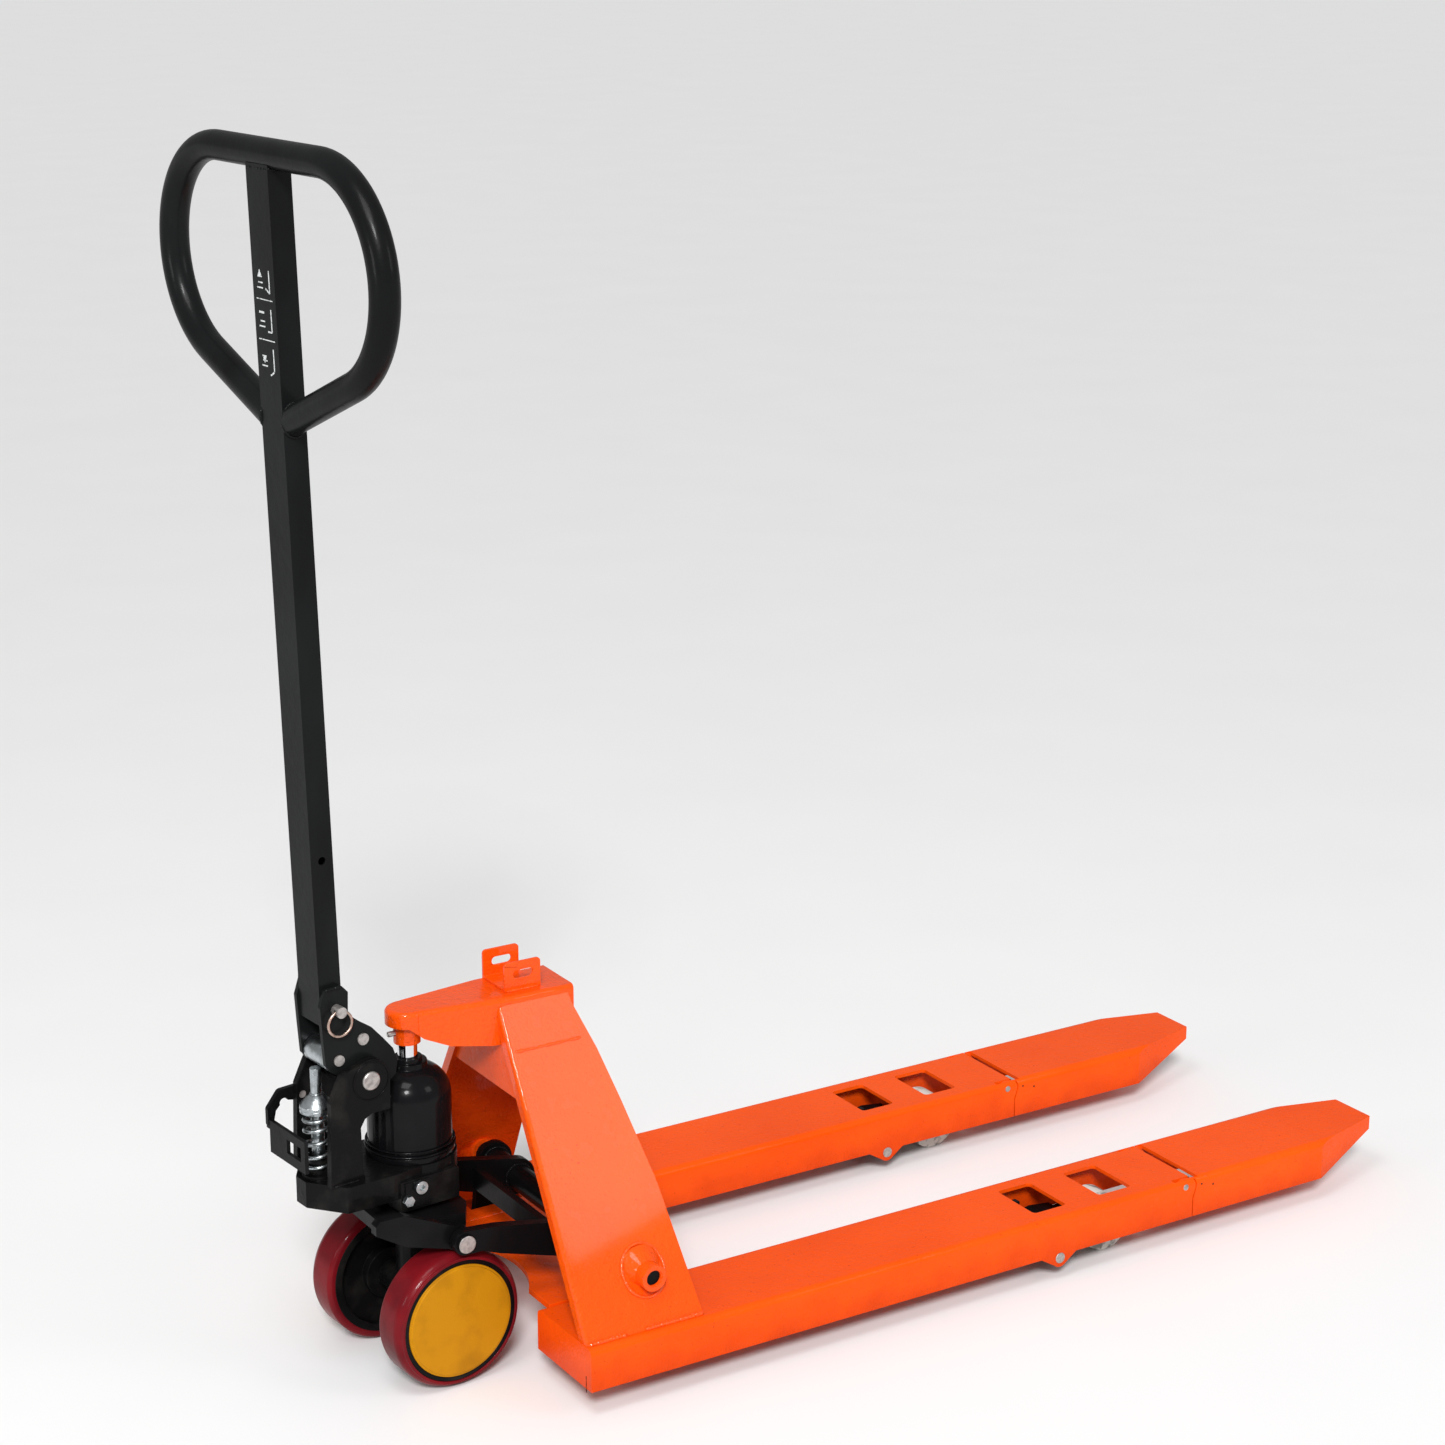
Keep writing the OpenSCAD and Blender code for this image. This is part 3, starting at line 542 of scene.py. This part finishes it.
def pin_end(centre, out, radius):
    """A cut pin's end: a flat face with a small chamfer and the dimple of a lathe centre."""
    centre = Vector(centre)
    out = Vector(out).normalized()
    side = out.orthogonal().normalized()
    up = out.cross(side)
    profile = ((1.0, -0.6), (1.0, 0.1), (0.93, 0.6), (0.16, 0.6), (0.0, 0.25))
    spokes = 40
    verts = []
    faces = []
    for reach, rise in profile[:-1]:
        for k in range(spokes):
            turn = 2 * math.pi * k / spokes
            spoke = side * math.cos(turn) + up * math.sin(turn)
            verts.append(centre + spoke * reach * radius + out * rise * MM)
    verts.append(centre + out * profile[-1][1] * MM)
    verts.append(centre - out * 0.6 * MM)
    for k in range(spokes):
        m = (k + 1) % spokes
        for ring in range(len(profile) - 2):
            a = ring * spokes
            faces.append((a + k, a + m, a + spokes + m, a + spokes + k))
        a = (len(profile) - 2) * spokes
        faces.append((a + k, a + m, len(verts) - 2))
        faces.append((m, k, len(verts) - 1))
    return verts, faces


LINK_X, LINK_OUT, LINK_Z = 15 * MM, 122.2 * MM, 197 * MM
link_ends = [pin_end((LINK_X, way * LINK_OUT, LINK_Z), (0, way, 0), 11.4 * MM) for way in (-1, 1)]
fit("link_pin_ends", joined(link_ends), steel, "rocker", False)

# The steering carriage: a black steel plate and two cheeks round the pump's stem, below a thrust race.
# It is cut plate, welded and painted, and the race is ground steel that is left bare.
dress(black, "carriage")
round_edges(1.0 * MM, "carriage")
dress(steel, "thrust_bearing")
round_edges(0.4 * MM, "thrust_bearing")

# The pump: a black-painted iron casting with a domed pressed-steel tank, valve block, stem and axle.
# The casting has a coarse sand-cast skin under the paint, and the tank is smooth and glossy.
ring_axis = next(joint["axis"] for joint in frame["joints"] if joint["name"] == "ring_swing")
STEERING = Matrix.Rotation(math.atan2(ring_axis[1], ring_axis[0]), 3, "Z")


def steered(x, y, z):
    """A point in the turned pump's own directions, given in millimetres."""
    return STEERING @ Vector((x, y, z)) * MM


cast = Finish("cast_black", Specular_IOR_Level=0.05, Coat_Weight=0.08, Coat_Roughness=0.12)
cast_dirt = cast.step(cast.grain(30, 6), 0.50, 0.72)
cast.colour(cast.tint(cast_dirt, rgb(0.0040, 0.0040, 0.0042), rgb(0.013, 0.012, 0.011)))
cast.roughness(cast.grain(70, 4) * 0.22 + 0.25)
cast.relief(cast.grain(240, 4) * 0.6 + cast.grain(60, 3), 0.0006)

tank_gloss = Finish("tank_black", Specular_IOR_Level=0.05, Coat_Weight=0.12, Coat_Roughness=0.05)
tank_dust = tank_gloss.step(tank_gloss.grain(14, 4), 0.4, 0.8)
tank_gloss.colour(tank_gloss.tint(tank_dust, rgb(0.0035, 0.0035, 0.004), rgb(0.007, 0.007, 0.008)))
tank_gloss.roughness(tank_gloss.grain(50, 3) * 0.14 + 0.16)
tank_gloss.relief(tank_gloss.grain(90, 2) + tank_gloss.grain(24, 2) * 1.5, 0.00025)

zinc = Finish("zinc_plate", Metallic=1.0)
zinc_cloud = zinc.step(zinc.grain(90, 4), 0.40, 0.70)
zinc.colour(zinc.tint(zinc_cloud, rgb(0.50, 0.54, 0.56), rgb(0.30, 0.32, 0.32)))
zinc.roughness(zinc.grain(130, 3) * 0.18 + 0.20)
zinc.relief(zinc.grain(600, 2, (1, 1, 0.3)), 0.0001)
dress(cast, "pump_base", "axle_stem")
dress(tank_gloss, "pump_tank")
dress(zinc, "valve_fittings", "axle")
dress(steel, "pivot_pin")
round_edges(1.4 * MM, "pump_base")
round_edges(0.8 * MM, "pump_tank", "axle_stem")
round_edges(0.4 * MM, "valve_fittings", "axle", "pivot_pin")


def hoop(centre, radius, thickness, count=72, axis="Z"):
    """A closed round bar about a centre, lying flat or standing across the axle."""
    path = []
    for k in range(count):
        turn = 2 * math.pi * k / count
        a, b = radius * math.cos(turn), radius * math.sin(turn)
        x, y, z = centre
        path.append(steered(x + a, y + b, z) if axis == "Z" else steered(x + a, y, z + b))
    return tube(path, lambda i: thickness * MM, 10, True)


tank_lo, tank_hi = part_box("pump_tank")
tank_r = (tank_hi.x - tank_lo.x) / 2 / MM
base_z = tank_lo.z / MM
BEADS = ((10, 0.2, 1.6), (16, 0.8, 1.3))
beads = [hoop((0, 0, base_z + rise), tank_r - inset, thickness) for rise, inset, thickness in BEADS]
fit("tank_beads", joined(beads), tank_gloss, "pump")
STEM_WELD_Z, STEM_WELD_R = 205.5, 23
fit("stem_weld", hoop((0, 0, STEM_WELD_Z), STEM_WELD_R, 2.4), cast, "pump")
LUG_ENDS, LUG_FOOT_Z = (-136, -100), 284.6
for word, y in (("near", -47.5), ("far", 47.5)):
    run = [steered(x, y, LUG_FOOT_Z) for x in LUG_ENDS]
    weld_bead("lug_weld_" + word, run, 2.4 * MM, cast, "pump")
PIVOT_X, PIVOT_Z, LUG_FACE = -80, 410, 47.2
pivot_rings = [hoop((PIVOT_X, y, PIVOT_Z), 24.5, 0.9, axis="Y") for y in (-LUG_FACE, LUG_FACE)]
fit("casting_mark", joined(pivot_rings), cast, "pump")

# The return spring: a coil of zinc-plated wire with closed ends, round the pump's piston.
# It stands on the casting and presses up on the piston's cap; the real spring shortens as the tiller goes
# down, but this coil is built at one fixed length on the pump.
spring_lo, spring_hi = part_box("return_spring")
SPRING_TURNS = 5.5
WIRE_R = 2.6 * MM
coil_r = (spring_hi.y - spring_lo.y) / 2 - WIRE_R - 0.2 * MM
PISTON_X = -130
SPRING_START = -1.1
CLOSED_ENDS = 0.055
coil = []
steps = int(SPRING_TURNS * 36)
for k in range(steps + 1):
    share = k / steps
    rise = share - CLOSED_ENDS * math.sin(2 * math.pi * share)
    turn = 2 * math.pi * SPRING_TURNS * share + SPRING_START
    z = spring_lo.z + WIRE_R + (spring_hi.z - spring_lo.z - 2 * WIRE_R) * rise
    centre = steered(PISTON_X, 0, 0)
    coil.append(centre + Vector((coil_r * math.cos(turn), coil_r * math.sin(turn), z)))
spring = fit("spring_coil", tube(coil, lambda i: WIRE_R, 12), zinc, "pump")
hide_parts("return_spring")
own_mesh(spring)

# The pump piston and its roller: turned steel, zinc plated, with a tool ring on the cap and one on its post.
# The tiller's roller bears on the post, and the cap holds the top of the spring.
dress(zinc, "pump_piston", "pump_roller")
round_edges(0.6 * MM, "pump_piston", "pump_roller")
tool_rings = [hoop((PISTON_X, 0, 372.5), 20.9, 0.5), hoop((PISTON_X, 0, 391.0), 7.6, 1.0, 40)]
fit("cap_ring", joined(tool_rings), zinc, "piston")

# The steering wheels: a black iron centre, a thick dark red polyurethane tyre and a mustard plastic cap.
# The tyre is moulded and turned smooth, and the cap is pressed into the wheel's outer side.
tread = Finish("red_tread", Specular_IOR_Level=0.06, Coat_Weight=0.12, Coat_Roughness=0.07)
tread_drift = tread.step(tread.grain(20, 4), 0.4, 0.75)
tread.colour(tread.tint(tread_drift, rgb(0.17, 0.006, 0.010), rgb(0.085, 0.004, 0.007)))
tread.roughness(tread.grain(80, 4) * 0.22 + 0.22)
tread.relief(tread.grain(300, 3) * 0.5 + tread.grain(60, 2), 0.0002)

cap_yellow = Finish("yellow_cap", Specular_IOR_Level=0.08)
mottle = cap_yellow.step(cap_yellow.grain(26, 5), 0.48, 0.80)
cap_yellow.colour(cap_yellow.tint(mottle, rgb(0.50, 0.215, 0.004), rgb(0.36, 0.150, 0.004)))
cap_yellow.roughness(cap_yellow.grain(90, 3) * 0.18 + 0.34)
cap_yellow.relief(cap_yellow.grain(420, 3), 0.0002)
for word in ("left", "right"):
    dress(tread, "tyre_" + word)
    dress(cast, "wheel_" + word)
    dress(cap_yellow, "wheel_cap_" + word)
    round_edges(0.8 * MM, "tyre_" + word, "wheel_" + word, "wheel_cap_" + word)

# The tiller: a rectangular steel mast welded to two flat bracket plates, with a bent tube loop on top.
# All of it is semi-gloss black, with a weld where each tube end meets the mast.
tiller = Finish("tiller_black", Specular_IOR_Level=0.06, Coat_Weight=0.06, Coat_Roughness=0.12)
tiller_dust = tiller.step(tiller.grain(7, 5, (1, 1, 0.5)), 0.42, 0.75)
tiller.colour(tiller.tint(tiller_dust, rgb(0.0050, 0.0052, 0.0055), rgb(0.010, 0.011, 0.011)))
tiller.roughness(tiller.grain(34, 3) * 0.16 + 0.26)
tiller.relief(tiller.grain(380, 1) * 0.4 + tiller.grain(80, 2) + tiller.grain(20, 2), 0.0002)
dress(tiller, "handle_bracket", "mast", "grip_loop")
round_edges(1.0 * MM, "handle_bracket")
round_edges(2.4 * MM, "mast")
dress(steel, "bracket_pins")
round_edges(0.3 * MM, "bracket_pins", flatten=False)
LEAN = math.radians(1.48)
MAST_X, MAST_FOOT = -120, 540
MAST_HALF_D, MAST_HALF_W = 15, 25


def on_mast(x, y, rise):
    """A point in the leaning mast's own directions, measured from its foot, in millimetres."""
    along = MAST_X + x * math.cos(LEAN) - rise * math.sin(LEAN)
    return steered(along, y, MAST_FOOT + x * math.sin(LEAN) + rise * math.cos(LEAN))


LOOP_RISE, TUBE_R = 983, 17.5
BAR_HALF, BEND_R = 115, 125
LEG_LEAN = math.radians(67.3)
leg_end = BAR_HALF + BEND_R * math.cos(LEG_LEAN)
leg_rise = -BEND_R - BEND_R * math.sin(LEG_LEAN)
reach = (leg_end - MAST_HALF_W) / math.sin(LEG_LEAN)
leg_foot = LOOP_RISE + leg_rise - reach * math.cos(LEG_LEAN)
for side, word in SIDES:
    ring = []
    for k in range(36):
        turn = 2 * math.pi * k / 36
        x = (TUBE_R + 0.4) * math.cos(turn) * 0.86
        rise = leg_foot + (TUBE_R + 0.6) * math.sin(turn) / math.sin(LEG_LEAN)
        ring.append(on_mast(x, side * (MAST_HALF_W + 0.6), rise))
    weld_bead("leg_weld_" + word, ring, 2.6 * MM, tiller, "handle", True)
BAR_WELD = ((-13, -24), (-13, 24), (13, 24), (13, -24))
bar_run = [on_mast(x, y, LOOP_RISE - 15) for x, y in BAR_WELD]
weld_bead("bar_weld", bar_run, 2.6 * MM, tiller, "handle", True)
CHEEK_TOP = ((-131, 533), (-108, 534))
for word, y in (("near", -31.9), ("far", 31.9)):
    run = [steered(x, y, z) for x, z in CHEEK_TOP]
    weld_bead("plate_weld_" + word, run, 2.2 * MM, tiller, "handle")

print_white = Finish("print_white", Specular_IOR_Level=0.4)
rubbed = print_white.step(print_white.grain(260, 3), 0.50, 0.66)
print_white.colour(print_white.tint(rubbed, rgb(0.62, 0.64, 0.64), rgb(0.22, 0.23, 0.23)))
print_white.roughness(print_white.grain(80) * 0.15 + 0.4)


def printed(outline):
    """A thin flat patch of print on the mast's back face; the outline is (across, height above floor)."""
    count = len(outline)
    front = [on_mast(-MAST_HALF_D - 0.18, y, z - MAST_FOOT) for y, z in outline]
    back = [on_mast(-MAST_HALF_D + 0.10, y, z - MAST_FOOT) for y, z in outline]
    faces = [tuple(range(count)), tuple(range(2 * count - 1, count - 1, -1))]
    faces += [(i, count + i, count + (i + 1) % count, (i + 1) % count) for i in range(count)]
    return front + back, faces


def stroke(y1, z1, y2, z2, width):
    """A printed line from one point to another."""
    along = Vector((y2 - y1, z2 - z1)).normalized() * width / 2
    return printed([(y1 - along.y, z1 + along.x), (y2 - along.y, z2 + along.x), (y2 + along.y, z2 - along.x),
                    (y1 + along.y, z1 - along.x)])


DIVIDERS = (1361, 1315)
LEVER_MARKS = ((1382, 1), (1338, 0), (1293, -1))
marks = []
for z in DIVIDERS:
    marks.append(stroke(-18, z, 18, z, 1.2))
for z, way in LEVER_MARKS:
    marks.append(stroke(-13, z - 13, -13, z + 13, 2.0))
    marks.append(stroke(-13, z - 13, -4, z - 13 + 5 * way, 2.0))
    marks.append(stroke(2, z - 8, 15, z - 8, 1.6))
    marks.append(stroke(2, z - 2, 12, z - 2, 1.6))
    if way:
        marks.append(printed([(3, z + 4), (13, z + 4), (8, z + 4 + 9 * way)][::way]))
    else:
        marks.append(stroke(3, z + 8, 14, z + 8, 2.4))
fit("lever_marks", joined(marks), print_white, "handle", False)

# The release pedal: a bent black steel strap on a small pin, ending in a plate for the foot.
# The plate has a rectangular hole in it, and the whole is cut and bent from sheet, then painted.
dress(black, "release_pedal")
round_edges(0.8 * MM, "release_pedal")

# The pin ring: a ring of copper-washed steel wire through the end of the mast's cross pin.
# It hangs loose in its hole and keeps the pin from working out.
ring_metal = Finish("ring_metal", Metallic=1.0)
ring_wear = ring_metal.step(ring_metal.grain(220, 4), 0.4, 0.7)
ring_metal.colour(ring_metal.tint(ring_wear, rgb(0.62, 0.47, 0.40), rgb(0.38, 0.27, 0.22)))
ring_metal.roughness(ring_metal.grain(300, 2) * 0.2 + 0.26)
dress(ring_metal, "pin_ring")
